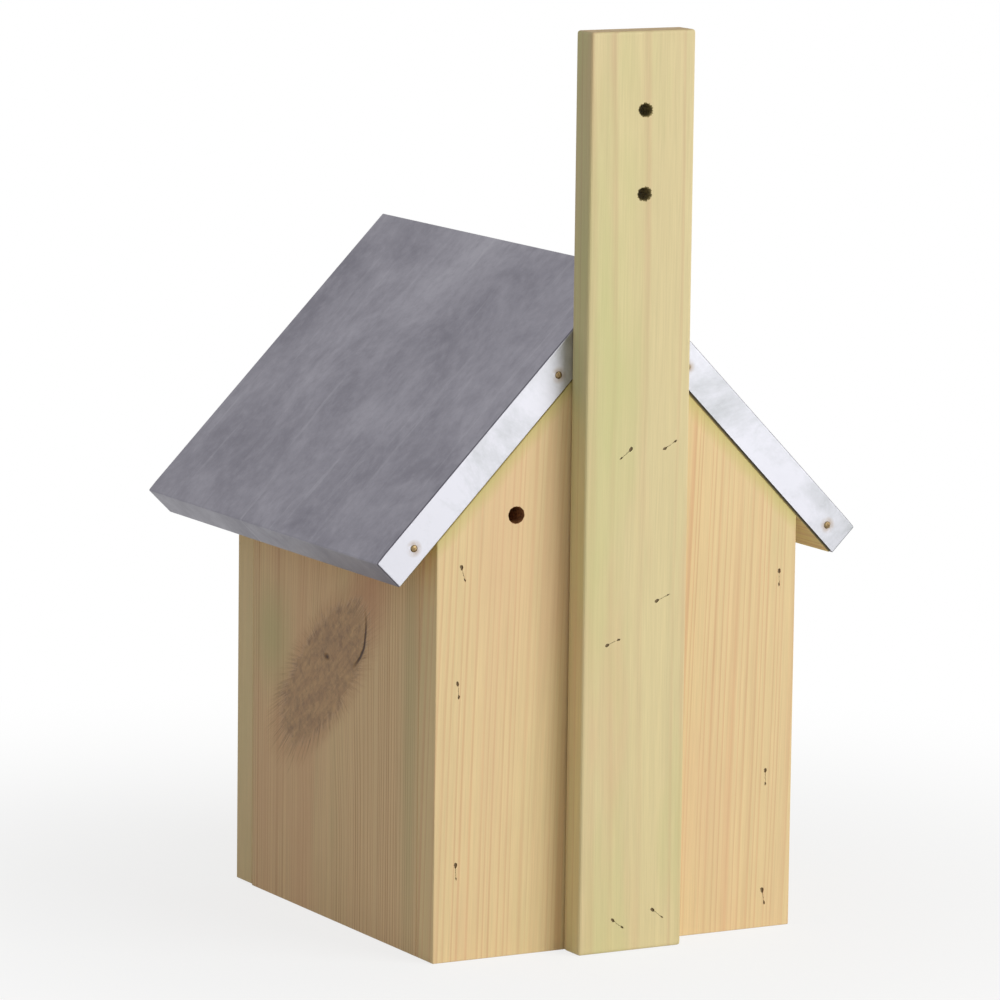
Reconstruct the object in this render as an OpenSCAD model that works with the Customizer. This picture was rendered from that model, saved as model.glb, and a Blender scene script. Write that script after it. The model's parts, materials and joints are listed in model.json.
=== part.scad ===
// Timber nest box: a gabled body of plain boards under a folded zinc roof,
// carried by one long batten that is screwed to a wall or a trunk.
// X runs across, Y from the entrance side (-Y) to the batten side (+Y), Z up.
// Left and right are as seen from the entrance side, so right is +X.
// The origin is the middle of the body's underside.

/* [Body] */
// Width of the body over its side walls
body_w = 140; // [115:1:200]
// Depth of the body over its front and back walls
body_d = 148; // [110:1:200]
// Height of the side walls at their outer faces
eave_h = 143.5; // [115:0.5:220]
// Thickness of the wall boards
wall_t = 12; // [10:0.5:18]
// Thickness of the floor board
floor_t = 12; // [8:0.5:18]
// How far the front wall's lower end stays above the other boards
front_lift = 0.5; // [0:0.1:3]

/* [Holes] */
// Diameter of the entrance hole
entrance_d = 32; // [26:1:45]
// Height of the entrance hole's centre
entrance_z = 140; // [100:1:160]
// Diameter of the vent hole in the back wall
vent_d = 6; // [4:0.5:10]
// Distance of the vent hole from the middle of the back wall
vent_x = 40; // [30:0.5:45]
// Height of the vent hole above the side walls
vent_rise = 7.5; // [-20:0.5:10]

/* [Roof] */
// Pitch of both slopes, in degrees
roof_pitch = 45.5; // [35:0.5:55]
// Thickness of the roof boards
roof_t = 12; // [9:0.5:18]
// Reach of the roof boards' upper edges past the side walls
eave_over = 22; // [16:1:40]
// Reach of the roof boards past the front wall
front_over = 25; // [8:1:60]
// Thickness of the zinc sheet
zinc_t = 0.8; // [0.5:0.1:1.5]
// Height of the folded flanges, square to the slope
flange_h = 12; // [9:0.5:16]

/* [Batten] */
// Width of the batten
batten_w = 40; // [30:1:50]
// Thickness of the batten
batten_t = 10.5; // [8:0.5:20]
// Reach of the batten above the ridge
batten_up = 80; // [70:1:160]
// Radius of the batten's eased long edges
batten_ease = 1; // [0.5:0.1:2]
// Diameter of the screw holes
screw_d = 4.5; // [3:0.1:7]
// Distance from the batten's top end to the upper screw hole
screw_top = 26.5; // [12:0.5:33]
// Distance between the screw holes
screw_gap = 28; // [15:0.5:33]
// Sideways place of the screw holes
screw_x = -1; // [-8:0.5:8]

/* [Flange nails] */
// Diameter of the nail shanks
nail_d = 1.4; // [1:0.1:2]
// Diameter of the nail heads
nail_head_d = 2.6; // [2.2:0.1:4]
// Thickness of the nail heads
nail_head_t = 0.6; // [0.4:0.1:1.2]
// Length of the nails under the head
nail_l = 20; // [12:1:40]
// Depth of the nails below the sheet's upper face, square to the slope
nail_drop = 7; // [5:0.5:8]
// Sideways distance from the batten's edge to the upper nails
nail_batten_gap = 5; // [4:0.5:15]
// Distance from the eave to the lower right nails, along the slope
nail_eave_gap = 12; // [9:0.5:25]
// How much nearer the eave the lower left nails are
nail_stray = 4; // [0:0.5:5]

/* [Staples] */
// Length of a staple's crown
staple_w = 5.7; // [4:0.1:7]
// Width of the staple wire, across the crown
wire_w = 1.2; // [0.8:0.1:1.4]
// Thickness of the staple wire
wire_t = 1; // [0.5:0.1:1.2]
// Length of the wall staples, from crown to points
staple_l = 22; // [20:1:30]
// Depth of the crowns below the wood's face
staple_sink = 0.4; // [0.1:0.1:1]
// Wood left behind the points of the batten staples
staple_cover = 1.5; // [1:0.5:5]

/* [Hidden] */
$fn = 48;
cut = 1;                                // how far a cutter runs past the face it cuts
hole_clear = 0.05;                      // room around nail shanks and staple wire

SIDES = [-1, 1];
half_w = body_w / 2;
y_back = body_d / 2;                    // outer face of the back wall
y_front = -y_back;                      // outer face of the front wall
y_flange = y_back + zinc_t;             // outer face of the back flange
y_proud = y_flange + batten_t;          // outer face of the batten
y_eave = y_front - front_over;          // front ends of the roof boards

roof_rise = tan(roof_pitch);
roof_in = sin(roof_pitch);
roof_out = cos(roof_pitch);
under_ridge = eave_h + half_w * roof_rise;
board_l = (half_w + eave_over - roof_t * roof_in) / roof_out;
sheet_n = roof_t + zinc_t;              // sheet's upper face, above the boards' underside
hem_n = sheet_n - flange_h;             // flanges' lower edges, above that underside
nail_n = sheet_n - nail_drop;
batten_l = under_ridge + sheet_n / roof_out + batten_up;
batten_staple_l = batten_t + zinc_t + wall_t - staple_cover;

wood = "#D9BD8C";
side_wood = "#B99A6C";
batten_wood = "#D8CA94";
zinc = "#8C8D92";
brass = "#8A7448";
steel = "#6E6A5E";

// Nails in one rake flange: [side, level, distance from the ridge along the slope]
nail_low = board_l - nail_eave_gap;
nail_high = (batten_w / 2 + nail_batten_gap - nail_n * roof_in) / roof_out;
NAILS = [
    [1, "lower", nail_low],
    [1, "upper", nail_high],
    [-1, "lower", nail_low + nail_stray],
    [-1, "upper", nail_high]];

// Staples through a gabled wall into the side walls:
// [side, level, distance in from the middle of the side wall, height, tilt in degrees]
WALL_STAPLES = [
    [1, "upper", 4, eave_h - 11, 73],
    [1, "middle", 2.5, 93, 84],
    [1, "lower", 2.5, 31, 87],
    [-1, "upper", 0.5, eave_h - 21, 89],
    [-1, "middle", 4.5, 53, 89],
    [-1, "lower", 4.5, 11, 79]];

// Staples through the batten into the back wall: [side, level, x, height, tilt in degrees]
BATTEN_STAPLES = [
    [1, "upper", 4.5, under_ridge - 43.5, 143],
    [-1, "upper", -12.5, under_ridge - 41.5, 151],
    [1, "middle", 8.5, 107, 160],
    [-1, "middle", -10.5, 121, 159],
    [1, "lower", 5, 10, 37],
    [-1, "lower", -10.5, 12, 37]];

function side_name(side) = side > 0 ? "right" : "left";
function piece_name(kind, row) = str(kind, "_", side_name(row[0]), "_", row[1]);

BACK_NAIL_NODES = [for (row = NAILS) piece_name("back_nail", row)];
FRONT_NAIL_NODES = [for (row = NAILS) piece_name("front_nail", row)];
BACK_STAPLE_NODES = [for (row = WALL_STAPLES) piece_name("back_staple", row)];
FRONT_STAPLE_NODES = [for (row = WALL_STAPLES) piece_name("front_staple", row)];
BATTEN_STAPLE_NODES = [for (row = BATTEN_STAPLES) piece_name("batten_staple", row)];

// A point on one slope: distance from the ridge along it, height square to its underside
function on_slope(along, n) = [
    along * roof_out + n * roof_in,
    under_ridge - along * roof_rise * roof_out + n * roof_out];
// Where a plane parallel to the slope crosses the middle of the roof
function at_ridge(n) = [0, under_ridge + n / roof_out];
function mirrored(p) = [-p[0], p[1]];

// Extrudes an outline drawn in X and Z from one Y to another
module across(y0, y1) {
    translate([0, y1, 0]) rotate([90, 0, 0]) linear_extrude(y1 - y0) children();
}

// Turns a piece made for the back (+Y) side round to the front
module front_copy() {
    mirror([0, 1, 0]) children();
}

// Sets a piece that is drawn pointing down from its top face into a face square to +Y
module into_back(x, y, z, tilt) {
    translate([x, y, z]) rotate([-90, 0, 0]) rotate([0, 0, -tilt]) children();
}

// Both slopes as one bent band between two heights above the boards' underside
module roof_band(length, low, high) {
    top = on_slope(length, high);
    bottom = on_slope(length, low);
    polygon([at_ridge(high), top, bottom, at_ridge(low), mirrored(bottom), mirrored(top)]);
}

module roof_board(side) {
    slope = [at_ridge(0), on_slope(board_l, 0), on_slope(board_l, roof_t), at_ridge(roof_t)];
    difference() {
        across(y_eave, y_back) mirror([side > 0 ? 0 : 1, 0]) polygon(slope);
        nail_cuts();
    }
}

module gable_board() {
    across(y_back - wall_t, y_back)
        polygon([[-half_w, 0], [half_w, 0], [half_w, eave_h], [0, under_ridge], [-half_w, eave_h]]);
}

// Every nail's hole, at both ends of the roof
module nail_cuts() {
    for (row = NAILS) {
        p = on_slope(row[2], nail_n);
        into_back(row[0] * p[0], y_flange, p[1], 0) nail_cut();
        translate([0, -front_over, 0]) front_copy()
            into_back(row[0] * p[0], y_flange, p[1], 0) nail_cut();
    }
}

module nail_cut() {
    translate([0, 0, -nail_l - hole_clear])
        cylinder(h = nail_l + hole_clear + cut, d = nail_d + 2 * hole_clear);
}

module nail() {
    translate([0, 0, -nail_l]) cylinder(h = nail_l, d = nail_d);
    cylinder(h = nail_head_t, d = nail_head_d);
}

module back_nail(row) {
    p = on_slope(row[2], nail_n);
    color(brass) into_back(row[0] * p[0], y_flange, p[1], 0) nail();
}

module front_nail(row) {
    translate([0, -front_over, 0]) front_copy() back_nail(row);
}

// A staple with its points down and the wood's face at z = 0
module staple(length, room = 0, mouth = 0) {
    crown = staple_w + 2 * room;
    across_wire = wire_w + 2 * room;
    leg = wire_t + 2 * room;
    translate([-crown / 2, -across_wire / 2, -staple_sink - wire_t])
        cube([crown, across_wire, wire_t + mouth]);
    for (s = SIDES)
        translate([s * (staple_w - wire_t) / 2 - leg / 2, -across_wire / 2, -length - room])
            cube([leg, across_wire, length + room - staple_sink]);
}

module wall_staple(row, room = 0, mouth = 0) {
    x = half_w - wall_t / 2 - row[2];
    into_back(row[0] * x, y_back, row[3], row[4]) staple(staple_l, room, mouth);
}

module batten_staple(row, room = 0, mouth = 0) {
    into_back(row[2], y_proud, row[3], row[4]) staple(batten_staple_l, room, mouth);
}

module wall_staple_cuts() {
    for (row = WALL_STAPLES) wall_staple(row, hole_clear, staple_sink + cut);
}

module batten_staple_cuts() {
    for (row = BATTEN_STAPLES) batten_staple(row, hole_clear, staple_sink + cut);
}

module back_staple(row) {
    color(steel) wall_staple(row);
}

module front_staple(row) {
    front_copy() back_staple(row);
}

module held_staple(row) {
    color(steel) batten_staple(row);
}

module floor_board() {
    inside_w = body_w - 2 * wall_t;
    inside_d = body_d - 2 * wall_t;
    color(wood) translate([-inside_w / 2, -inside_d / 2, 0])
        cube([inside_w, inside_d, floor_t]);
}

module front_wall() {
    color(wood) difference() {
        front_copy() gable_board();
        translate([-half_w - cut, y_front - cut, -cut])
            cube([body_w + 2 * cut, wall_t + 2 * cut, front_lift + cut]);
        translate([0, y_front - cut, entrance_z]) rotate([-90, 0, 0])
            cylinder(h = wall_t + 2 * cut, d = entrance_d);
        front_copy() wall_staple_cuts();
    }
}

module back_wall() {
    color(wood) difference() {
        gable_board();
        translate([vent_x, y_back + cut, eave_h + vent_rise]) rotate([90, 0, 0])
            cylinder(h = wall_t + 2 * cut, d = vent_d);
        wall_staple_cuts();
        batten_staple_cuts();
    }
}

// The upper edge is bevelled to the roof's pitch
module side_wall(side) {
    inner = half_w - wall_t;
    color(side_wood) difference() {
        across(y_front + wall_t, y_back - wall_t) mirror([side > 0 ? 0 : 1, 0])
            polygon([[inner, 0], [half_w, 0], [half_w, eave_h], [inner, eave_h + wall_t * roof_rise]]);
        wall_staple_cuts();
        front_copy() wall_staple_cuts();
    }
}

module left_side_wall() {
    side_wall(-1);
}

module right_side_wall() {
    side_wall(1);
}

module left_roof_board() {
    color(wood) roof_board(-1);
}

module right_roof_board() {
    color(wood) roof_board(1);
}

// One sheet bent over the ridge, with a flange folded down along every edge
module zinc_roof() {
    color(zinc) difference() {
        across(y_eave - zinc_t, y_flange) roof_band(board_l + zinc_t, hem_n, sheet_n);
        across(y_eave, y_back) roof_band(board_l, hem_n - cut, roof_t);
        nail_cuts();
    }
}

module batten() {
    inner_w = batten_w - 2 * batten_ease;
    inner_t = batten_t - 2 * batten_ease;
    color(batten_wood) difference() {
        translate([0, y_flange + batten_t / 2, 0]) linear_extrude(batten_l) union() {
            square([batten_w, inner_t], center = true);
            square([inner_w, batten_t], center = true);
            for (x = SIDES, y = SIDES)
                translate([x * inner_w / 2, y * inner_t / 2]) circle(batten_ease);
        }
        for (drop = [screw_top, screw_top + screw_gap])
            translate([screw_x, y_proud + cut, batten_l - drop]) rotate([90, 0, 0])
                cylinder(h = batten_t + 2 * cut, d = screw_d);
        batten_staple_cuts();
    }
}

floor_board();
front_wall();
back_wall();
left_side_wall();
right_side_wall();
left_roof_board();
right_roof_board();
zinc_roof();
batten();
for (i = [0 : len(NAILS) - 1]) {
    back_nail(NAILS[i]);
    front_nail(NAILS[i]);
}
for (i = [0 : len(WALL_STAPLES) - 1]) {
    back_staple(WALL_STAPLES[i]);
    front_staple(WALL_STAPLES[i]);
}
for (i = [0 : len(BATTEN_STAPLES) - 1])
    held_staple(BATTEN_STAPLES[i]);
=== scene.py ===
"""A timber nest box under a folded zinc roof, finished for rendering.

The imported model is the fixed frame. Boards, roof sheet and nail heads are made anew on its
sizes, with eased edges, real bends and cut-through holes, and each finish is a node material.
Lengths are in metres, +Y is the side that the batten is on.
"""

import json
import math
import random

import bmesh
import bpy
from mathutils import Matrix, Vector


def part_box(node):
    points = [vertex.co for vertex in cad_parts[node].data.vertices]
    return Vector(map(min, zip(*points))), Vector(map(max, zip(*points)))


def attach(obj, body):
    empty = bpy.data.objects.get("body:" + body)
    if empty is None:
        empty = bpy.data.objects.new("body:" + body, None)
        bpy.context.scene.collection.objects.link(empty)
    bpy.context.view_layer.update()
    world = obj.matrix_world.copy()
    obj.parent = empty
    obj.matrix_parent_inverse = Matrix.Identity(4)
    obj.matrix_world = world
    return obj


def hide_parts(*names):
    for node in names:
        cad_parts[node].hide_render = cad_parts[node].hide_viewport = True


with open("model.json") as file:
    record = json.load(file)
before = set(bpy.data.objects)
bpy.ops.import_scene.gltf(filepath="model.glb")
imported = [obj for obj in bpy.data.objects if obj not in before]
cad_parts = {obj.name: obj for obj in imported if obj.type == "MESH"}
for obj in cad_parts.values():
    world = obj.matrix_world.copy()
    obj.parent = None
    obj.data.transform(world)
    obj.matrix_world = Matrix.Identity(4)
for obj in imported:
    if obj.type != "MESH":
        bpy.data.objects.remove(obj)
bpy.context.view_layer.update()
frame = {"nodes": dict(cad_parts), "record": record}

MM = 0.001
BODY = "root"

# ------------------------------------------------------------------ sizes read from the frame

back_low, back_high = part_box("back_wall")
front_low, front_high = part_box("front_wall")
side_low, side_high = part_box("right_side_wall")
floor_low, floor_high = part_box("floor_board")
roof_low, roof_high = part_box("right_roof_board")
zinc_low, zinc_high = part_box("zinc_roof")
batten_low, batten_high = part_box("batten")
nail_low, nail_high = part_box("back_nail_right_lower")

HALF_W = back_high[0]
PEAK_Z = back_high[2]                                   # underside of the roof at the ridge
INNER_X = side_low[0]
PITCH = math.atan((PEAK_Z - side_high[2]) / INNER_X)
EAVE_Z = PEAK_Z - HALF_W * math.tan(PITCH)
ROOF_T = (roof_high[2] - PEAK_Z) * math.cos(PITCH)
ZINC_T = zinc_high[1] - roof_high[1]
SHEET_N = (zinc_high[2] - PEAK_Z) * math.cos(PITCH)     # sheet's upper face above that underside
BOARD_L = (roof_high[0] - ROOF_T * math.sin(PITCH)) / math.cos(PITCH)
SHEET_L = BOARD_L + ZINC_T
NAIL_R = (nail_high[0] - nail_low[0]) / 2
NAIL_HEAD = nail_high[1] - zinc_high[1]
NAIL_L = zinc_high[1] - nail_low[1]

openings = {row["name"]: row["box_m"] for row in frame["record"]["physics"]["openings"]}
mounts = {row["name"]: row for row in frame["record"]["mounts"]}

SEED = 11
EASE = 0.35 * MM                                        # sanded edge of a sawn board
BATTEN_EASE = 1.0 * MM
BEND_R = 0.5 * MM                                       # outer radius of a fold in the sheet
FLANGE_H = 12 * MM                                      # sheet turned down at eaves and ends
HEM_N = SHEET_N - FLANGE_H
EAVE_CREASE = 4 * MM                                    # slight dip of the sheet before the eave fold
EAVE_DIP = 0.15 * MM
SHEET_FILL = 0.95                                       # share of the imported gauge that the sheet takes
SEAM = 0.15 * MM                                        # half the gap where the end flanges meet
STAPLE_SPAN = 5.7 * MM
STAPLE_SINK = 0.4 * MM
MARK_DEPTH = 0.5 * MM
MARK_REACH = 1.1                                        # a mark's length as a share of the staple's
PIT_PLACE = 0.82                                        # a pit's place as a share of half the staple
WIDE_PIT_FIRST = ("batten_staple_right_upper",)         # the others have their wider pit last
ENTRANCE_R = 16 * MM
VENT_R = 3 * MM
SHANK_R = 0.7 * MM


def on_slope(along, n):
    """X and Z of a point on the right slope: distance from the ridge, height off the underside."""
    return (along * math.cos(PITCH) + n * math.sin(PITCH),
            PEAK_Z - along * math.sin(PITCH) + n * math.cos(PITCH))


def at_ridge(n):
    """X and Z of a point straight over the ridge, n off the underside of either slope."""
    return (0.0, PEAK_Z + n / math.cos(PITCH))


def mirrored(points):
    """The same outline on the other side of the ridge."""
    return [(-x, z) for x, z in points]


# ------------------------------------------------------------------ node helpers

MATH = "ShaderNodeMath"
VECTOR = "ShaderNodeVectorMath"
NOISE = "ShaderNodeTexNoise"
RANGE = "ShaderNodeMapRange"
MAPPING = "ShaderNodeMapping"
JOIN = "ShaderNodeCombineXYZ"
MIX = "ShaderNodeMix"
A, B = 6, 7                                             # the Mix node's colour sockets
COLOUR = 2                                              # and its colour output


def linear(hex_colour):
    """An sRGB hex colour as linear RGBA."""
    values = [int(hex_colour[i:i + 2], 16) / 255 for i in (1, 3, 5)]
    return tuple(v / 12.92 if v <= 0.04045 else ((v + 0.055) / 1.055) ** 2.4 for v in values) + (1.0,)


def add(tree, kind, inputs=None, out=0, **settings):
    """Adds a node with its settings, links or sets its inputs, and returns one of its outputs."""
    node = tree.nodes.new(kind)
    for key, value in settings.items():
        setattr(node, key, value)
    for key, value in (inputs or {}).items():
        if isinstance(value, bpy.types.NodeSocket):
            tree.links.new(value, node.inputs[key])
        else:
            node.inputs[key].default_value = value
    return node.outputs[out] if len(node.outputs) else node


def start_material(name):
    """An empty node material: the material, its tree and the point being shaded."""
    material = bpy.data.materials.new(name)
    material.use_nodes = True
    tree = material.node_tree
    tree.nodes.clear()
    return material, tree, add(tree, "ShaderNodeTexCoord", out="Object")


def finish_material(tree, linked, **constant):
    """Ends a tree in one Principled shader, whose constants are set on its own sockets."""
    inputs = {key.replace("_", " "): value for key, value in constant.items()}
    shader = add(tree, "ShaderNodeBsdfPrincipled", {**linked, **inputs})
    add(tree, "ShaderNodeOutputMaterial", {"Surface": shader})


def patch(tree, place, centre, size, soft=1.0):
    """A soft patch: 1 at its centre and 0 at its size, which is given for each axis."""
    apart = add(tree, VECTOR, {0: place, 1: centre}, operation="SUBTRACT")
    scaled = add(tree, VECTOR, {0: apart, 1: size}, operation="DIVIDE")
    length = add(tree, VECTOR, {0: scaled}, out="Value", operation="LENGTH")
    return add(tree, RANGE, {"Value": length, "From Min": 1.0, "From Max": 1.0 - soft},
               interpolation_type="SMOOTHSTEP")


# ------------------------------------------------------------------ finish: planed pine

def growth_rings(tree, bent, pith, ring, push=None):
    """Distance from the pith as years of growth: 0 in pale spring wood, 1 in the late wood's line."""
    from_pith = add(tree, VECTOR, {0: bent, 1: (pith[0], pith[1], 0)}, operation="SUBTRACT")
    flat = add(tree, VECTOR, {0: from_pith, 1: (1, 1, 0)}, operation="MULTIPLY")
    radius = add(tree, VECTOR, {0: flat}, out="Value", operation="LENGTH")
    if push:
        radius = add(tree, MATH, {0: radius, 1: push}, operation="ADD")
    years = add(tree, MATH, {0: radius, 1: 1 / ring}, operation="MULTIPLY")

    # Years are wide and narrow by turns
    slip = add(tree, NOISE, {"W": years, "Scale": 0.45, "Detail": 1.0}, noise_dimensions="1D")
    years = add(tree, MATH, {0: slip, 1: 2.2, 2: years}, operation="MULTIPLY_ADD")

    # Within a year: pale, then a narrow dark line, then sharply back
    phase = add(tree, MATH, {0: years}, operation="FRACT")
    ramp = add(tree, "ShaderNodeValToRGB", {0: phase}).node
    ramp.color_ramp.interpolation = "EASE"
    stops = ramp.color_ramp.elements
    stops[0].position = 0.0
    stops[1].position = 1.0
    for at, level in ((0.5, 0.16), (0.82, 1.0)):
        stops.new(at).color = (level, level, level, 1)
    stops[0].color = (0.04, 0.04, 0.04, 1)
    stops[-1].color = (0.04, 0.04, 0.04, 1)
    return ramp.outputs[0]


def pine(name, early, late, pith, ring, seed, turn=0.0, lean=0.0, contrast=1.0, wander=7.0,
         tints=(), end="#C5A776", detail=None, push=None):
    """Planed, untreated pine: satin, pale, with growth rings about a pith outside the board.

    Spring wood darkens slowly to a narrow line of late wood and drops back sharply, so faces
    show long lines and ends show arcs. turn lays the grain along Y, lean tips it in the face,
    ring is the width of a year's growth and wander how far the lines stray, in millimetres.
    """
    material, tree, here = start_material(name)
    upright = add(tree, MAPPING, {"Vector": here, "Rotation": (turn, lean, 0)})

    # The stem isn't straight, so the rings stray by some millimetres along the grain
    slow = add(tree, MAPPING, {"Vector": upright, "Location": (seed, 0, 0), "Scale": (7, 7, 2.4)})
    stray = add(tree, NOISE, {"Vector": slow, "Scale": 1.0, "Detail": 2.0}, out="Color")
    stray = add(tree, VECTOR, {0: stray, 1: (0.5, 0.5, 0.5)}, operation="SUBTRACT")
    stray = add(tree, VECTOR, {0: stray, 1: (wander * MM, wander * MM, 0)}, operation="MULTIPLY")
    bent = add(tree, VECTOR, {0: upright, 1: stray}, operation="ADD")
    moved = push(tree, here) if push else None
    rings = growth_rings(tree, bent, pith, ring, moved)

    # Some years are faint, and fade along their length
    spread = add(tree, MAPPING, {"Vector": bent, "Location": (0, seed, 0), "Scale": (55, 55, 4)})
    faint = add(tree, NOISE, {"Vector": spread, "Scale": 1.0, "Detail": 2.0})
    strength = add(tree, RANGE, {"Value": faint, "From Min": 0.32, "From Max": 0.68,
                                 "To Min": 0.25 * contrast, "To Max": contrast})
    lines = add(tree, MATH, {0: rings, 1: strength}, operation="MULTIPLY")
    colour = add(tree, MIX, {0: lines, A: linear(early), B: linear(late)}, out=COLOUR, data_type="RGBA")

    # Fibres 0.5 mm across and 24 mm long, and wider streaks
    fibre = None
    for width, length, low, high in ((0.5, 24, 0.94, 1.045), (5, 160, 0.955, 1.035)):
        grain = add(tree, MAPPING, {"Vector": bent, "Location": (0, 0, seed), "Scale": (
            1 / (width * MM), 1 / (width * MM), 1 / (length * MM))})
        streak = add(tree, NOISE, {"Vector": grain, "Scale": 1.0, "Detail": 3.0, "Roughness": 0.6})
        tone = add(tree, RANGE, {"Value": streak, "From Min": 0.28, "From Max": 0.72,
                                 "To Min": low, "To Max": high})
        grey = add(tree, JOIN, {0: tone, 1: tone, 2: tone})
        colour = add(tree, MIX, {0: 1.0, A: colour, B: grey}, out=COLOUR, data_type="RGBA",
                     blend_type="MULTIPLY")
        fibre = fibre or streak

    # Green and pink casts in long soft patches
    for index, (hue, amount, start) in enumerate(tints):
        cast = add(tree, MAPPING, {"Vector": bent, "Location": (seed * 3 + index * 7, index, 0),
                                   "Scale": (34, 34, 6)})
        cast = add(tree, NOISE, {"Vector": cast, "Scale": 1.0, "Detail": 3.0, "Roughness": 0.6})
        cast = add(tree, RANGE, {"Value": cast, "From Min": start, "From Max": start + 0.2,
                                 "To Max": amount})
        colour = add(tree, MIX, {0: cast, A: colour, B: linear(hue)}, out=COLOUR, data_type="RGBA")

    height = add(tree, MATH, {0: lines, 1: 0.5, 2: fibre}, operation="MULTIPLY_ADD")
    if detail:
        colour, height = detail(tree, here, colour, height)

    # Cut ends are rougher and darker than planed faces; on the roof planks the end colour is painted
    # shadow
    normal = add(tree, "ShaderNodeNewGeometry", out="True Normal")
    grain_axis = Matrix.Rotation(-turn, 3, "X") @ Vector((0, 0, 1))
    facing = add(tree, VECTOR, {0: normal, 1: grain_axis}, out="Value", operation="DOT_PRODUCT")
    facing = add(tree, MATH, {0: facing}, operation="ABSOLUTE")
    cut_end = add(tree, RANGE, {"Value": facing, "From Min": 0.75, "From Max": 0.95, "To Max": 0.9})
    colour = add(tree, MIX, {0: cut_end, A: colour, B: linear(end)}, out=COLOUR, data_type="RGBA")

    rough = add(tree, RANGE, {"Value": height, "From Min": 0.2, "From Max": 1.1,
                              "To Min": 0.7, "To Max": 0.52})
    bump = add(tree, "ShaderNodeBump", {"Height": height, "Strength": 0.4, "Distance": 0.08 * MM})
    finish_material(tree, {"Base Color": colour, "Roughness": rough, "Normal": bump}, IOR=1.5)
    return material


KNOT = Vector((HALF_W, -5 * MM, 88 * MM))
KNOT_LONG = 38 * MM
KNOT_WIDE = 15.5 * MM
KNOT_TILT = math.radians(40)
KNOT_EYE = (HALF_W, -5 * MM, 92 * MM)
CRACK_ABOUT = (HALF_W, 6.5 * MM, 107.3 * MM)            # the crack is an arc about this point
CRACK_R = 18.4 * MM
CRACK_MIDDLE = (HALF_W, 21 * MM, 100 * MM)


def parted_rings(tree, here):
    """Growth rings part round the knot."""
    swell = patch(tree, here, KNOT, (60 * MM, 42 * MM, 66 * MM))
    return add(tree, MATH, {0: swell, 1: 4 * MM}, operation="MULTIPLY")


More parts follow.
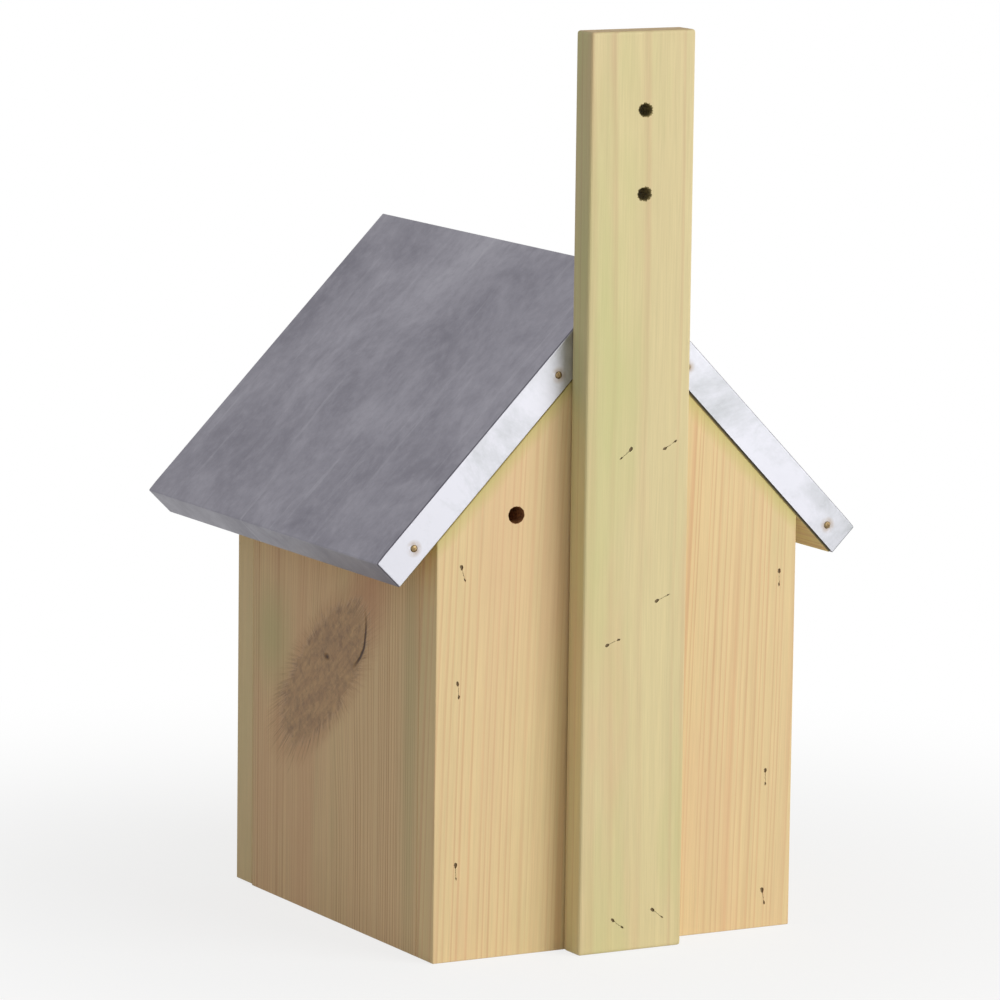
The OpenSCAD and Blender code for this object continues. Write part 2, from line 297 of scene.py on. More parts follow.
def sawn_knot(tree, here, colour, height):
    """The large knot in the right side wall: a branch sawn along its length, with torn fibres."""
    apart = add(tree, VECTOR, {0: here, 1: KNOT}, operation="SUBTRACT")
    along_axis = (0, math.cos(KNOT_TILT) / KNOT_LONG, math.sin(KNOT_TILT) / KNOT_LONG)
    across_axis = (0, -math.sin(KNOT_TILT) / KNOT_WIDE, math.cos(KNOT_TILT) / KNOT_WIDE)
    u = add(tree, VECTOR, {0: apart, 1: along_axis}, out="Value", operation="DOT_PRODUCT")
    v = add(tree, VECTOR, {0: apart, 1: across_axis}, out="Value", operation="DOT_PRODUCT")
    oval = add(tree, JOIN, {0: u, 1: v})
    reach = add(tree, VECTOR, {0: oval}, out="Value", operation="LENGTH")

    # A blunt lower end: the oval is squared off where u is negative
    blunt = add(tree, RANGE, {"Value": u, "From Min": -0.2, "From Max": -1.0, "To Max": 0.16})
    reach = add(tree, MATH, {0: reach, 1: blunt}, operation="SUBTRACT")

    # Torn fibres, as rays about the oval's middle that are longest at the lower left
    angle = add(tree, MATH, {0: v, 1: u}, operation="ARCTAN2")
    ray = add(tree, JOIN, {0: angle, 1: reach})
    ray = add(tree, MAPPING, {"Vector": ray, "Scale": (26, 1.6, 1)})
    rays = add(tree, NOISE, {"Vector": ray, "Scale": 1.0, "Detail": 4.0, "Roughness": 0.7})
    edge = add(tree, MATH, {0: rays, 1: -0.7, 2: reach}, operation="MULTIPLY_ADD")
    inside = add(tree, RANGE, {"Value": edge, "From Min": 0.72, "From Max": 0.52},
                 interpolation_type="SMOOTHSTEP")
    halo = add(tree, RANGE, {"Value": edge, "From Min": 1.1, "From Max": 0.6, "To Max": 0.45},
               interpolation_type="SMOOTHSTEP")

    # The branch's own rings run along the oval, broken into blotches
    own = add(tree, MAPPING, {
        "Vector": oval, "Scale": (KNOT_LONG / (15 * MM), KNOT_WIDE / (2.4 * MM), 1)})
    own = add(tree, NOISE, {"Vector": own, "Scale": 1.0, "Detail": 5.0, "Roughness": 0.65,
                            "Distortion": 0.9})
    blotch = add(tree, NOISE, {"Vector": here, "Scale": 1 / (4 * MM), "Detail": 4.0, "Roughness": 0.7})
    own = add(tree, RANGE, {"Value": own, "From Min": 0.3, "From Max": 0.7})
    heart = add(tree, MIX, {0: own, A: linear("#A27950"), B: linear("#C9A26F")}, out=COLOUR,
                data_type="RGBA")
    dusk = add(tree, RANGE, {"Value": blotch, "From Min": 0.45, "From Max": 0.65, "To Max": 0.65})
    heart = add(tree, MIX, {0: dusk, A: heart, B: linear("#7F5C39")}, out=COLOUR, data_type="RGBA")
    colour = add(tree, MIX, {0: halo, A: colour, B: linear("#BE9068")}, out=COLOUR, data_type="RGBA")
    fringe = add(tree, RANGE, {"Value": edge, "From Min": 0.95, "From Max": 0.7})
    hair = add(tree, RANGE, {"Value": rays, "From Min": 0.48, "From Max": 0.66, "To Max": 0.55})
    lower_left = add(tree, RANGE, {"Value": u, "From Min": 0.7, "From Max": -0.7, "To Min": 0.15})
    hair = add(tree, MATH, {0: hair, 1: fringe}, operation="MULTIPLY")
    hair = add(tree, MATH, {0: hair, 1: lower_left}, operation="MULTIPLY")
    colour = add(tree, MIX, {0: hair, A: colour, B: linear("#8B6844")}, out=COLOUR, data_type="RGBA")
    colour = add(tree, MIX, {0: inside, A: colour, B: heart}, out=COLOUR, data_type="RGBA")

    # A dark crack along the upper right edge, and a small dark eye
    wobble = add(tree, NOISE, {"Vector": here, "Scale": 1 / (9 * MM), "Detail": 2.0})
    from_middle = add(tree, VECTOR, {0: here, 1: CRACK_ABOUT}, out="Value", operation="DISTANCE")
    off_line = add(tree, MATH, {0: wobble, 1: 2 * MM, 2: from_middle}, operation="MULTIPLY_ADD")
    off_line = add(tree, MATH, {0: off_line, 1: CRACK_R}, operation="SUBTRACT")
    off_line = add(tree, MATH, {0: off_line}, operation="ABSOLUTE")
    line = add(tree, RANGE, {"Value": off_line, "From Min": 0.9 * MM, "From Max": 0.3 * MM})
    stretch = patch(tree, here, CRACK_MIDDLE, (30 * MM, 11 * MM, 15 * MM), 0.7)
    crack = add(tree, MATH, {0: line, 1: stretch}, operation="MULTIPLY")
    eye = patch(tree, here, KNOT_EYE, (9 * MM, 2.8 * MM, 1.7 * MM))
    dark = add(tree, MATH, {0: crack, 1: eye}, operation="MAXIMUM")
    colour = add(tree, MIX, {0: dark, A: colour, B: linear("#4A3528")}, out=COLOUR, data_type="RGBA")

    # Casts round it: greenish at the left, reddish over the right end
    clear = add(tree, MATH, {0: 1.0, 1: inside}, operation="SUBTRACT")
    for hue, amount, y, z, wide, tall in (
            ("#B9B67C", 0.55, -47, 93, 22, 30), ("#C58C6A", 0.45, 26, 122, 24, 26),
            ("#BDB883", 0.3, -66, 50, 10, 90), ("#B5B27E", 0.4, 56, 70, 9, 130)):
        cast = patch(tree, here, (HALF_W, y * MM, z * MM), (60 * MM, wide * MM, tall * MM))
        cast = add(tree, MATH, {0: cast, 1: clear}, operation="MULTIPLY")
        cast = add(tree, MATH, {0: cast, 1: amount}, operation="MULTIPLY")
        colour = add(tree, MIX, {0: cast, A: colour, B: linear(hue)}, out=COLOUR, data_type="RGBA")

    torn = add(tree, MATH, {0: blotch, 1: inside}, operation="MULTIPLY")
    height = add(tree, MATH, {0: torn, 1: 3.0, 2: height}, operation="MULTIPLY_ADD")
    height = add(tree, MATH, {0: dark, 1: -8.0, 2: height}, operation="MULTIPLY_ADD")
    return colour, height


def under_rake_tint(tree, here, colour, height):
    """The walls turn a darker yellow-green for a few millimetres under the sloping roof edges."""
    rake = add(tree, VECTOR, {0: here}, operation="ABSOLUTE")
    off_rake = add(tree, VECTOR, {0: rake, 1: (math.sin(PITCH), 0, math.cos(PITCH))}, out="Value",
                   operation="DOT_PRODUCT")
    uneven = add(tree, NOISE, {"Vector": here, "Scale": 60.0, "Detail": 3.0})
    off_rake = add(tree, MATH, {0: uneven, 1: 4 * MM, 2: off_rake}, operation="MULTIPLY_ADD")
    top = PEAK_Z * math.cos(PITCH)
    under_rake_weight = add(tree, RANGE, {"Value": off_rake, "From Min": top - 3 * MM, "From Max": top + 2 * MM,
                              "To Max": 0.7})
    colour = add(tree, MIX, {0: under_rake_weight, A: colour, B: linear("#C6BC6E")}, out=COLOUR, data_type="RGBA")
    return colour, height


ALONG_Y = math.radians(90)
GREEN, PINK = "#C9C48C", "#E3BA90"
back_pine = pine("planed_pine_back", "#E6CC98", "#D5A478", (0.155, 0.012), 2.4 * MM, 2.0,
                 lean=math.radians(1.5), contrast=0.68, detail=under_rake_tint,
                 tints=((GREEN, 0.3, 0.55), (PINK, 0.4, 0.5)))
front_pine = pine("planed_pine_front", "#E2C998", "#D2A277", (-0.13, -0.02), 2.8 * MM, 5.0,
                  contrast=0.75, detail=under_rake_tint, tints=((GREEN, 0.3, 0.55), (PINK, 0.3, 0.55)))
right_pine = pine("planed_pine_right_side", "#E8C999", "#C08F61", (0.03, -0.34), 1.7 * MM, 3.0,
                  wander=3.0, tints=(("#C3BA84", 0.25, 0.55), ("#DBAB82", 0.4, 0.5)),
                  detail=sawn_knot, push=parted_rings)
left_pine = pine("planed_pine_left_side", "#E0C896", "#CB9E72", (-0.01, 0.25), 2.1 * MM, 8.0,
                 contrast=0.8, tints=((GREEN, 0.3, 0.55), (PINK, 0.3, 0.55)))
batten_pine = pine("planed_pine_batten", "#DDCD9A", "#D1B588", (0.05, -0.02), 4.4 * MM, 4.0,
                   contrast=0.85, tints=(("#DFB98F", 0.6, 0.5), ("#C5C786", 0.55, 0.5)))
# The roof planks' end grain is near black: painted shadow for the thin dark line under the zinc's end
# flanges
roof_pine = pine("planed_pine_roof", "#E6D294", "#D2AD76", (0.02, -0.16), 2.6 * MM, 6.0,
                 turn=ALONG_Y, tints=(("#D2C884", 0.4, 0.5),), end="#3A351E")
floor_pine = pine("planed_pine_floor", "#DEC592", "#CDA074", (0.05, 0.08), 2.8 * MM, 7.0,
                  turn=ALONG_Y)


def bored_pine_and_shade(name, dark, light):
    """Wood inside drilled holes and staple marks: torn, and darker than the planed faces, partly as
    painted shade for the holes' depth.
    """
    material, tree, here = start_material(name)
    torn = add(tree, NOISE, {"Vector": here, "Scale": 1 / (1.1 * MM), "Detail": 4.0})
    torn = add(tree, RANGE, {"Value": torn, "From Min": 0.35, "From Max": 0.65})
    colour = add(tree, MIX, {0: torn, A: linear(dark), B: linear(light)}, out=COLOUR,
                 data_type="RGBA")
    bump = add(tree, "ShaderNodeBump", {"Height": torn, "Strength": 0.5, "Distance": 0.2 * MM})
    finish_material(tree, {"Base Color": colour, "Normal": bump}, Roughness=0.8, IOR=1.5)
    return material


# Hole wood is darker torn fibre plus painted shade for the depth of the holes
hole_wood_and_shade = bored_pine_and_shade("bored_pine_and_shade", "#74492A", "#B98352")
batten_hole_wood_and_shade = bored_pine_and_shade("bored_green_pine_and_shade", "#5E5230", "#A3935F")


# ------------------------------------------------------------------ finishes: metal

NAILS = sorted(name for name in frame["nodes"] if "_nail_" in name)
STAPLES = sorted(name for name in frame["nodes"] if "staple" in name)


def nail_centre(name):
    """Where a nail comes out of the roof sheet."""
    low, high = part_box(name)
    y = zinc_high[1] if name.startswith("back") else zinc_low[1]
    return Vector(((low[0] + high[0]) / 2, y, (low[2] + high[2]) / 2))


def zinc_sheet():
    """Rolled zinc sheet, folded by hand and slightly weathered.

    It is clouded in greys with a violet cast, with faint paler scratches down the slopes, and a
    brown ring a few millimetres wide lies round each nail.
    """
    material, tree, here = start_material("weathered_zinc_sheet")
    cloud = add(tree, NOISE, {"Vector": here, "Scale": 24.0, "Detail": 8.0, "Roughness": 0.7,
                              "Distortion": 0.4})
    mottle = add(tree, NOISE, {"Vector": here, "Scale": 190.0, "Detail": 5.0, "Roughness": 0.7})
    sway = add(tree, NOISE, {"Vector": here, "Scale": 10.0, "Detail": 2.0})
    turned = add(tree, MAPPING, {"Vector": here, "Rotation": (0, PITCH, 0)})
    drawn = add(tree, MAPPING, {
        "Vector": turned, "Scale": (1 / (70 * MM), 1 / (5 * MM), 1 / (70 * MM))})
    scratch = add(tree, NOISE, {"Vector": drawn, "Scale": 1.0, "Detail": 5.0, "Roughness": 0.65})

    cloudy = add(tree, RANGE, {"Value": cloud, "From Min": 0.32, "From Max": 0.68})
    colour = add(tree, MIX, {0: cloudy, A: linear("#76747E"), B: linear("#929099")}, out=COLOUR,
                 data_type="RGBA")
    for pattern, start, end, amount, hue in (
            (sway, 0.5, 0.64, 0.5, "#9C9AA2"), (sway, 0.5, 0.36, 0.45, "#75737D"),
            (mottle, 0.5, 0.7, 0.3, "#9A98A0"), (mottle, 0.5, 0.32, 0.3, "#6C6A73"),
            (scratch, 0.58, 0.72, 0.4, "#A3A2A9"), (scratch, 0.42, 0.28, 0.3, "#6B6973")):
        weight = add(tree, RANGE, {"Value": pattern, "From Min": start, "From Max": end,
                                   "To Max": amount})
        colour = add(tree, MIX, {0: weight, A: colour, B: linear(hue)}, out=COLOUR, data_type="RGBA")

    # The turned-down ends are paler metal with smoky patches, lightened further by a painted highlight,
    # and their folds get painted shade
    normal = add(tree, "ShaderNodeNewGeometry", out="True Normal")
    endward = add(tree, VECTOR, {0: normal, 1: (0, 1, 0)}, out="Value", operation="DOT_PRODUCT")
    endward = add(tree, MATH, {0: endward}, operation="ABSOLUTE")
    smoke = add(tree, RANGE, {"Value": cloud, "From Min": 0.66, "From Max": 0.46})
    pale_and_sheen_tone = add(tree, MIX, {0: smoke, A: linear("#97999B"), B: linear("#B8B8BE")}, out=COLOUR,
                 data_type="RGBA")
    # Faces turned along Y are paler metal and also carry a painted highlight
    pale_and_sheen_ends = add(tree, RANGE, {"Value": endward, "From Min": 0.9, "From Max": 0.99})
    colour = add(tree, MIX, {0: pale_and_sheen_ends, A: colour, B: pale_and_sheen_tone}, out=COLOUR, data_type="RGBA")
    # Painted shade along the rounded folds between the slopes and the end flanges
    entering = add(tree, RANGE, {"Value": endward, "From Min": 0.1, "From Max": 0.3, "To Max": 0.75})
    leaving = add(tree, RANGE, {"Value": endward, "From Min": 0.95, "From Max": 0.8})
    fold_painted_shade = add(tree, MATH, {0: entering, 1: leaving}, operation="MULTIPLY")
    colour = add(tree, MIX, {0: fold_painted_shade, A: colour, B: linear("#47454C")}, out=COLOUR, data_type="RGBA")

    blotch = add(tree, RANGE, {"Value": mottle, "From Min": 0.35, "From Max": 0.55})
    for name in NAILS:
        off = add(tree, VECTOR, {0: here, 1: nail_centre(name)}, out="Value", operation="DISTANCE")
        ring = add(tree, RANGE, {"Value": off, "From Min": 3.2 * MM, "From Max": 1.3 * MM,
                                 "To Max": 0.7})
        ring = add(tree, MATH, {0: ring, 1: blotch}, operation="MULTIPLY")
        colour = add(tree, MIX, {0: ring, A: colour, B: linear("#8E7A60")}, out=COLOUR,
                     data_type="RGBA")

    rough = add(tree, RANGE, {"Value": cloud, "From Min": 0.3, "From Max": 0.7,
                              "To Min": 0.5, "To Max": 0.38})
    height = add(tree, MATH, {0: mottle, 1: 0.05, 2: sway}, operation="MULTIPLY_ADD")
    bump = add(tree, "ShaderNodeBump", {"Height": height, "Strength": 0.4, "Distance": 0.7 * MM})
    finish_material(tree, {"Base Color": colour, "Roughness": rough, "Normal": bump}, Metallic=1.0)
    return material


def brass_plate():
    """Brass-plated wire nails, drawn and dulled: yellow-brown with rusty pits."""
    material, tree, here = start_material("dull_brass_plate")
    pits = add(tree, NOISE, {"Vector": here, "Scale": 1 / (0.9 * MM), "Detail": 3.0})
    pitted = add(tree, RANGE, {"Value": pits, "From Min": 0.4, "From Max": 0.6})
    colour = add(tree, MIX, {0: pitted, A: linear("#5E4A34"), B: linear("#9A8560")}, out=COLOUR,
                 data_type="RGBA")
    rough = add(tree, RANGE, {"Value": pits, "To Min": 0.6, "To Max": 0.35})
    bump = add(tree, "ShaderNodeBump", {"Height": pits, "Strength": 0.4, "Distance": 0.1 * MM})
    finish_material(tree, {"Base Color": colour, "Roughness": rough, "Normal": bump}, Metallic=1.0)
    return material


def coated_wire_and_pit_shade():
    """Drawn staple wire under a brown coat: dark, with a low gloss; its dark tone also stands in as
    painted shade in the staple pits.
    """
    material, tree, here = start_material("resin_coated_wire_pit_shade")
    coat = add(tree, NOISE, {"Vector": here, "Scale": 1 / (1.2 * MM), "Detail": 3.0})
    colour = add(tree, MIX, {0: coat, A: linear("#5E4A2E"), B: linear("#84704B")}, out=COLOUR,
                 data_type="RGBA")
    rough = add(tree, RANGE, {"Value": coat, "To Min": 0.7, "To Max": 0.45})
    finish_material(tree, {"Base Color": colour, "Roughness": rough}, Metallic=0.2)
    return material


zinc = zinc_sheet()
brass = brass_plate()
wire = coated_wire_and_pit_shade()


# ------------------------------------------------------------------ pieces: boards

def show(name, bm, material=None):
    """A mesh object from a bmesh, with its faces pointing outwards."""
    bmesh.ops.remove_doubles(bm, verts=bm.verts, dist=0.001 * MM)
    bmesh.ops.recalc_face_normals(bm, faces=bm.faces)
    mesh = bpy.data.meshes.new(name)
    bm.to_mesh(mesh)
    bm.free()
    if material:
        mesh.materials.append(material)
    made = bpy.data.objects.new(name, mesh)
    bpy.context.scene.collection.objects.link(made)
    return made


def settle(piece):
    """Applies a piece's modifiers and leaves it a plain mesh."""
    bpy.context.view_layer.update()
    shaped = piece.evaluated_get(bpy.context.evaluated_depsgraph_get())
    mesh = bpy.data.meshes.new_from_object(shaped)
    piece.modifiers.clear()
    piece.data = mesh


def add_prism(bm, outline, low, high):
    """Adds a closed shape with an outline in XZ, between two levels of Y."""
    near = [bm.verts.new((x, low, z)) for x, z in outline]
    far = [bm.verts.new((x, high, z)) for x, z in outline]
    bm.faces.new(near)
    bm.faces.new(far[::-1])
    for i in range(len(outline)):
        j = (i + 1) % len(outline)
        bm.faces.new((near[i], far[i], far[j], near[j]))


def prism(outline, low, high):
    """A solid with an outline in XZ, between two levels of Y."""
    bm = bmesh.new()
    add_prism(bm, outline, low, high)
    return bm


def ease(piece, width, segments=2):
    """Rounds every sharp edge."""
    bevel = piece.modifiers.new("ease", "BEVEL")
    bevel.width = width
    bevel.segments = segments
    bevel.limit_method = "ANGLE"
    bevel.angle_limit = math.radians(30)
    settle(piece)


def bored(bm, middle, radius, low, high, flare, ragged=0.0, steps=48):
    """A cutter for a hole along Y: it flares at both faces, and is ragged and slightly oval."""
    x, z = middle
    draw = random.Random(SEED + int(abs(x) / MM) * 31 + int(z / MM))
    past = 2 * MM
    inner = 0.4                         # how ragged it is between the faces
    rings = []
    wave = [draw.uniform(-1, 1) * ragged for _ in range(steps)]
    oval = [1 + 0.5 * ragged / radius * math.cos(2 * math.tau * i / steps) for i in range(steps)]
    for y, extra, rough in ((low - past, flare, 1), (low, flare, 1), (low + flare, 0, inner),
                            (high - flare, 0, inner), (high, flare, 1), (high + past, flare, 1)):
        ring = []
        for i in range(steps):
            turn = math.tau * i / steps
            r = (radius + extra + wave[i] * rough) * oval[i]
            ring.append(bm.verts.new((x + r * math.cos(turn), y, z + r * math.sin(turn))))
        rings.append(ring)
    for ring, following in zip(rings, rings[1:]):
        for i in range(steps):
            j = (i + 1) % steps
            bm.faces.new((ring[i], ring[j], following[j], following[i]))
    bm.faces.new(rings[0])
    bm.faces.new(rings[-1][::-1])


def staple_line(name):
    """Where a staple's crown lies: its middle, its tilt in XZ, and which way its face looks."""
    low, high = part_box(name)
    outward = 1 if high[1] > 0 and not name.startswith("front") else -1
    face = high[1] if outward > 0 else low[1]
    near = [v.co for v in frame["nodes"][name].data.vertices if abs(v.co.y - face) < 0.2 * MM]
    x = sum(v.x for v in near) / len(near)
    z = sum(v.z for v in near) / len(near)
    xx = sum((v.x - x) ** 2 for v in near)
    zz = sum((v.z - z) ** 2 for v in near)
    xz = sum((v.x - x) * (v.z - z) for v in near)
    return x, z, 0.5 * math.atan2(2 * xz, xx - zz), outward, face + outward * STAPLE_SINK


def staple_mark(bm, name):
    """A cutter for the mark over a driven staple: two torn pits and the slit between them."""
    x, z, tilt, outward, face = staple_line(name)
    draw = random.Random(SEED + sum(map(ord, name)))
    half = STAPLE_SPAN / 2
    steps = 28
    bend = draw.uniform(-0.25, 0.25) * MM
    wide_end = -PIT_PLACE if name in WIDE_PIT_FIRST else PIT_PLACE
    pits = [(wide_end * half, draw.uniform(0.5, 0.72) * MM),
            (-wide_end * half, draw.uniform(0.22, 0.42) * MM)]
    upper, lower = [], []
    for i in range(steps + 1):
        u = (STAPLE_SPAN * i / steps - half) * MARK_REACH
        open_by = draw.uniform(0.02, 0.12) * MM
        for at, size in pits:
            pit = math.sqrt(max(size ** 2 - (u - at) ** 2 * 0.4, 0))
            open_by = max(open_by, pit * draw.uniform(0.75, 1.1))
        if i in (0, steps):
            open_by = 0.04 * MM
        middle = bend * math.sin(math.pi * i / steps) + draw.uniform(-0.1, 0.1) * MM
        upper.append((u, middle + open_by))
        lower.append((u, middle - open_by))
    outline = [(x + u * math.cos(tilt) - v * math.sin(tilt),
                z + u * math.sin(tilt) + v * math.cos(tilt)) for u, v in upper + lower[::-1]]
    add_prism(bm, outline, face - outward * MARK_DEPTH, face + outward * MM)


def carve(piece, holes, wall, torn_and_shaded_wood):
    """Takes holes and a wall's staple marks out of a piece, and leaves torn wood, darkened partly by
    painted shade, in them.
    """
    for name in STAPLES:
        if name.startswith(wall):
            staple_mark(holes, name)
    cutter = show("cutter", holes, torn_and_shaded_wood)
    cut = piece.modifiers.new("cut", "BOOLEAN")
    cut.operation = "DIFFERENCE"
    cut.solver = "EXACT"
    cut.use_self = True
    cut.material_mode = "TRANSFER"
    cut.object = cutter
    settle(piece)
    bpy.data.objects.remove(cutter)


def stand_for(piece, node):
    """Puts a finished piece in the place of its CAD node."""
    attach(piece, BODY)
    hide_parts(node)


def rectangle(low, high):
    """Outline in XZ of a box with two given corners."""
    return [(low[0], low[2]), (high[0], low[2]), (high[0], high[2]), (low[0], high[2])]


def gable(base):
    """Outline of the front or back wall, from its lower edge up to the ridge."""
    return [(-HALF_W, base), (HALF_W, base), (HALF_W, EAVE_Z), (0, PEAK_Z), (-HALF_W, EAVE_Z)]


def middle_of(name):
    """X and Z of the middle of a round opening."""
    low, high = openings[name]
    return (low[0] + high[0]) / 2, (low[2] + high[2]) / 2


# Back wall: vent hole and the marks of its own staples
back = show("back_wall_board", prism(gable(back_low[2]), back_low[1], back_high[1]), back_pine)
ease(back, EASE)
cuts = bmesh.new()
bored(cuts, middle_of("vent_hole"), VENT_R, back_low[1], back_high[1], 0.05 * MM, 0.12 * MM)
carve(back, cuts, "back", hole_wood_and_shade)
stand_for(back, "back_wall")

# Front wall: entrance hole and staple marks
front = show("front_wall_board", prism(gable(front_low[2]), front_low[1], front_high[1]), front_pine)
ease(front, EASE)
cuts = bmesh.new()
bored(cuts, middle_of("entrance_hole"), ENTRANCE_R, front_low[1], front_high[1], 0.6 * MM, steps=96)
carve(front, cuts, "front", hole_wood_and_shade)
stand_for(front, "front_wall")

# Side walls, bevelled along the top to lie under the roof
side_outline = [(INNER_X, side_low[2]), (HALF_W, side_low[2]),
                (HALF_W, EAVE_Z), (INNER_X, side_high[2])]
for label, outline, finish in (("right", side_outline, right_pine),
                               ("left", mirrored(side_outline), left_pine)):
    side = show(label + "_side_board", prism(outline, side_low[1], side_high[1]), finish)
    ease(side, EASE)
    stand_for(side, label + "_side_wall")

floor_outline = rectangle(floor_low, floor_high)
bottom = show("nest_floor", prism(floor_outline, floor_low[1], floor_high[1]), floor_pine)
ease(bottom, EASE)
stand_for(bottom, "floor_board")

# Roof boards meet in a mitre under the ridge
slope_outline = [at_ridge(0), on_slope(BOARD_L, 0), on_slope(BOARD_L, ROOF_T), at_ridge(ROOF_T)]
for label, outline in (("right", slope_outline), ("left", mirrored(slope_outline))):
    board = show(label + "_roof_plank", prism(outline, roof_low[1], roof_high[1]), roof_pine)
    ease(board, EASE)
    stand_for(board, label + "_roof_board")

# Batten: screw holes, and staple marks on its outer face
batten_outline = rectangle(batten_low, batten_high)
rail = show("hanging_batten", prism(batten_outline, batten_low[1], batten_high[1]), batten_pine)
ease(rail, BATTEN_EASE, 3)
cuts = bmesh.new()
screws = mounts["batten_screws"]
for half_step in (-0.5, 0.5):
    screw_z = screws["pos_m"][2] + half_step * screws["dims"]["spacing_y_mm"] * MM
    bored(cuts, (screws["pos_m"][0], screw_z), screws["dims"]["hole_r_mm"] * MM,
          batten_low[1], batten_high[1], 0.35 * MM, 0.32 * MM)
carve(rail, cuts, "batten", batten_hole_wood_and_shade)
stand_for(rail, "batten")


# ------------------------------------------------------------------ pieces: roof sheet and nails

def folded_sheet():
    """The outer face of the roof sheet: two slopes, turned down at the eaves and at both ends."""
    bm = bmesh.new()
    ends = []
    for y in (zinc_low[1], zinc_high[1]):
        top = bm.verts.new((0, y, at_ridge(SHEET_N)[1]))
        sides = []
        for side in (1, -1):
            row = [bm.verts.new((side * x, y, z)) for x, z in (
                on_slope(SHEET_L - EAVE_CREASE, SHEET_N),
                on_slope(SHEET_L, SHEET_N - EAVE_DIP),
                on_slope(SHEET_L, HEM_N))]
            low = bm.verts.new((side * SEAM, y, at_ridge(HEM_N)[1]))
            sides.append([top, *row, low])
        ends.append(sides)
    for side in (0, 1):
        front_row, back_row = ends[0][side], ends[1][side]
        for i in range(3):
            bm.faces.new((front_row[i], front_row[i + 1], back_row[i + 1], back_row[i]))
        bm.faces.new(front_row)
        bm.faces.new(back_row)
    return bm


sheet = show("folded_zinc_roof", folded_sheet(), zinc)
upward = max(sheet.data.polygons, key=lambda face: face.area)
if upward.normal.z < 0:
    sheet.data.flip_normals()
ease(sheet, BEND_R, 4)
wall = sheet.modifiers.new("thickness", "SOLIDIFY")
wall.thickness = ZINC_T * SHEET_FILL
wall.offset = -1
wall.use_even_offset = True
settle(sheet)
stand_for(sheet, "zinc_roof")


def nail_tree():
    """A low dome on a shank at every point, pointing away from the middle of the roof."""
    tree = bpy.data.node_groups.new("wire_nails", "GeometryNodeTree")
    tree.interface.new_socket("Geometry", in_out="INPUT", socket_type="NodeSocketGeometry")
    sizes = {}
    for label, size in (("Head radius", NAIL_R), ("Head height", NAIL_HEAD),
                        ("Shank radius", SHANK_R), ("Shank length", NAIL_L)):
        made = tree.interface.new_socket(label, in_out="INPUT", socket_type="NodeSocketFloat")
        sizes[made.identifier] = size
    tree.interface.new_socket("Geometry", in_out="OUTPUT", socket_type="NodeSocketGeometry")
    points, head_r, head_h, shank_r, shank_l = add(tree, "NodeGroupInput").node.outputs[:5]

    ball = add(tree, "GeometryNodeMeshUVSphere", {"Segments": 24, "Rings": 12, "Radius": head_r})
    flat = add(tree, MATH, {0: head_h, 1: head_r}, operation="DIVIDE")
    squash = add(tree, JOIN, {0: 1.0, 1: 1.0, 2: flat})
    dome = add(tree, "GeometryNodeTransform", {"Geometry": ball, "Scale": squash})
    pin = add(tree, "GeometryNodeMeshCylinder", {"Vertices": 12, "Radius": shank_r, "Depth": shank_l})
    sunk = add(tree, MATH, {0: shank_l, 1: -0.5}, operation="MULTIPLY")
    down = add(tree, JOIN, {2: sunk})
    pin = add(tree, "GeometryNodeTransform", {"Geometry": pin, "Translation": down})
    nail = add(tree, "GeometryNodeJoinGeometry", {0: dome})
    tree.links.new(pin, nail.node.inputs[0])

    place = add(tree, "GeometryNodeInputPosition")
    outward = add(tree, VECTOR, {0: place, 1: (0, 1, 0)}, operation="MULTIPLY")
    turn = add(tree, "FunctionNodeAlignRotationToVector", {"Vector": outward}, axis="Z")
    size = add(tree, "FunctionNodeRandomValue", {2: 0.9, 3: 1.0, "Seed": SEED}, out=1)
    nails = add(tree, "GeometryNodeInstanceOnPoints", {
        "Points": points, "Instance": nail, "Rotation": turn, "Scale": size})
    solid = add(tree, "GeometryNodeRealizeInstances", {0: nails})
    smooth = add(tree, "GeometryNodeSetShadeSmooth", {0: solid})
    brassy = add(tree, "GeometryNodeSetMaterial", {0: smooth, "Material": brass})
    add(tree, "NodeGroupOutput", {0: brassy})
    return tree, sizes


points = bmesh.new()
for name in NAILS:
    points.verts.new(nail_centre(name))
nail_mesh = bpy.data.meshes.new("wire_nails")
points.to_mesh(nail_mesh)
points.free()
nails = bpy.data.objects.new("wire_nails", nail_mesh)
bpy.context.scene.collection.objects.link(nails)
grow = nails.modifiers.new("nails", "NODES")
grow.node_group, nail_sizes = nail_tree()
for identifier, size in nail_sizes.items():
    grow[identifier] = size
settle(nails)
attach(nails, BODY)
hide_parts(*NAILS)

# Staples take the dark coated wire, which also paints the shade in their pits
for name in STAPLES:
    for holder in frame["nodes"][name].material_slots:
        holder.material = wire

# ------------------------------------------------------------------ floor, light and camera

NEAR_WHITE = "#F0F0EE"
FLOOR_HALF = 8.0
FLOOR_GAP = 0.1 * MM                    # keeps the floor off the faces that stand on it
SHADOW_IN, SHADOW_OUT = 0.10, 0.42        # the floor takes shadow inside these radii
FLOOR_GLOW = 0.78
AMBIENT = 0.38


def seen_directly(tree):
    """1 for rays from the camera, a mirror or glass, and 0 for the light that falls on things."""
    path = add(tree, "ShaderNodeLightPath").node.outputs
    flag = add(tree, MATH, {0: path["Is Camera Ray"], 1: path["Is Glossy Ray"]}, operation="MAXIMUM")
    return add(tree, MATH, {0: flag, 1: path["Is Transmission Ray"]}, operation="MAXIMUM")


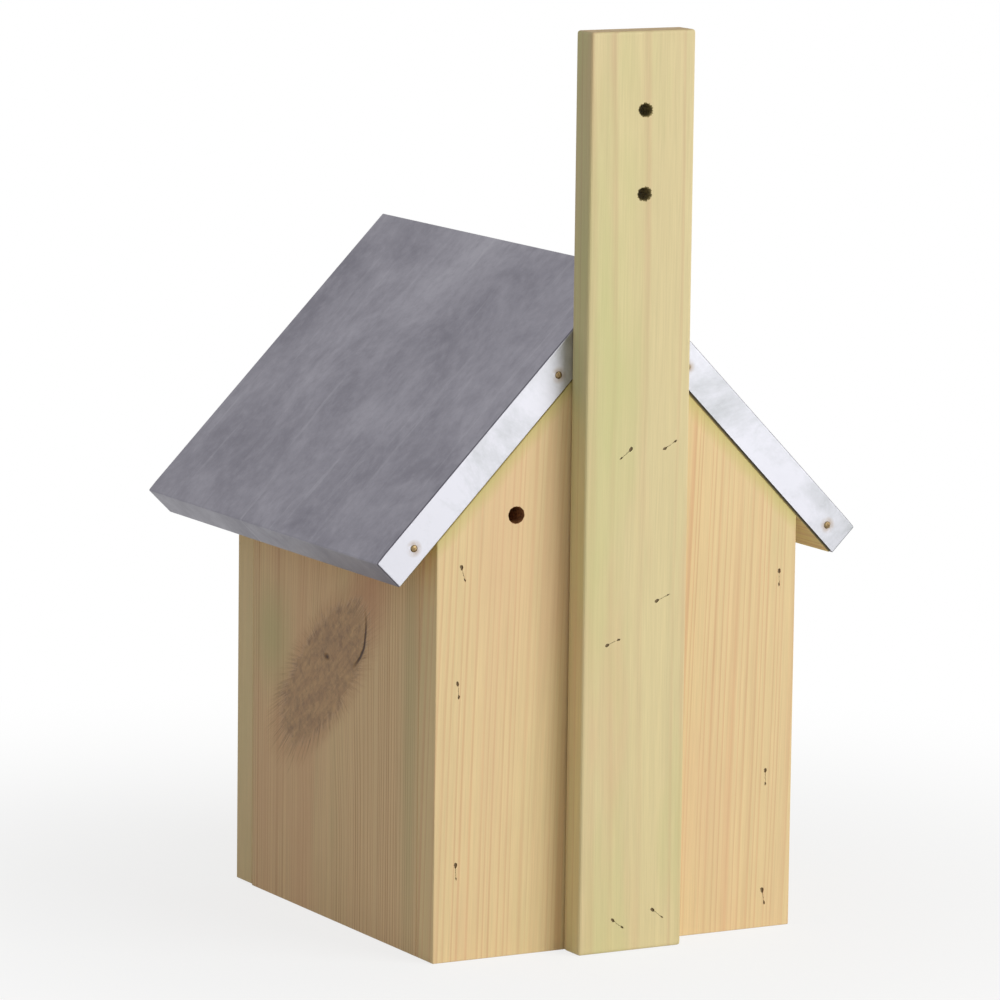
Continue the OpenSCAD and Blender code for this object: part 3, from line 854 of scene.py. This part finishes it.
def studio_floor():
    """Matt pale floor: it keeps the shadow near the box and turns plain white farther out."""
    material, tree, here = start_material("studio_floor")
    matt = add(tree, "ShaderNodeBsdfDiffuse", {"Color": linear(NEAR_WHITE)})
    glow = add(tree, "ShaderNodeEmission", {"Color": (1, 1, 1, 1), "Strength": 1.0})
    distance = add(tree, VECTOR, {0: here}, out="Value", operation="LENGTH")
    white = add(tree, RANGE, {"Value": distance, "From Min": SHADOW_IN, "From Max": SHADOW_OUT,
                              "To Min": FLOOR_GLOW, "To Max": 1.0}, interpolation_type="SMOOTHSTEP")
    weight = add(tree, MATH, {0: white, 1: seen_directly(tree)}, operation="MULTIPLY")
    both = add(tree, "ShaderNodeMixShader", {0: weight, 1: matt, 2: glow})
    add(tree, "ShaderNodeOutputMaterial", {"Surface": both})
    return material


bm = bmesh.new()
bmesh.ops.create_grid(bm, x_segments=1, y_segments=1, size=FLOOR_HALF)
bmesh.ops.translate(bm, verts=bm.verts, vec=(0, 0, -FLOOR_GAP))
studio = show("studio_floor", bm)
if studio.data.polygons[0].normal.z < 0:
    studio.data.flip_normals()
studio.data.materials.append(studio_floor())

world = bpy.data.worlds.new("studio")
world.use_nodes = True
world.node_tree.nodes.clear()
level = add(world.node_tree, RANGE, {"Value": seen_directly(world.node_tree), "To Min": AMBIENT,
                                     "To Max": 1.0})
sky = add(world.node_tree, "ShaderNodeBackground", {"Color": (1, 1, 1, 1), "Strength": level})
add(world.node_tree, "ShaderNodeOutputWorld", {"Surface": sky})
bpy.context.scene.world = world

KEY_TOWARD = Vector((-0.50, 0.78, 0.28)).normalized()   # from the box to the key light
KEY_DISTANCE = 2.3
KEY_WIDTH, KEY_HEIGHT = 1.6, 2.0
KEY_LEVEL = 0.72                        # share of a white surface's full brightness
MIDDLE = Vector((0, 0, 0.15))

key = bpy.data.objects.new("key", bpy.data.lights.new("key", "AREA"))
key.data.shape = "RECTANGLE"
key.data.size = KEY_WIDTH
key.data.size_y = KEY_HEIGHT
key.data.energy = KEY_LEVEL * math.pi ** 2 * KEY_DISTANCE ** 2
key.location = MIDDLE + KEY_TOWARD * KEY_DISTANCE
key.rotation_euler = KEY_TOWARD.to_track_quat("Z", "Y").to_euler()
bpy.context.scene.collection.objects.link(key)

LOOK_AT = Vector((0.0021, -0.0061, 0.1421))
CAMERA_LENS, CAMERA_SENSOR = 225.63, 36     # in millimetres
CAMERA_AWAY = 2.187
CAMERA_AZIMUTH = math.radians(151.08)
CAMERA_ELEVATION = math.radians(8.965)
CAMERA_ROLL = math.radians(0.729)

back_of_view = Vector((math.sin(CAMERA_AZIMUTH) * math.cos(CAMERA_ELEVATION),
                       -math.cos(CAMERA_AZIMUTH) * math.cos(CAMERA_ELEVATION),
                       math.sin(CAMERA_ELEVATION)))
camera = bpy.data.objects.new("camera", bpy.data.cameras.new("camera"))
camera.data.lens = CAMERA_LENS
camera.data.sensor_width = CAMERA_SENSOR
camera.location = LOOK_AT + back_of_view * CAMERA_AWAY
level_turn = back_of_view.to_track_quat("Z", "Y")
camera.rotation_euler = (Matrix.Rotation(CAMERA_ROLL, 3, back_of_view)
                         @ level_turn.to_matrix()).to_euler()
bpy.context.scene.collection.objects.link(camera)
bpy.context.scene.camera = camera
bpy.context.scene.view_settings.view_transform = "Standard"
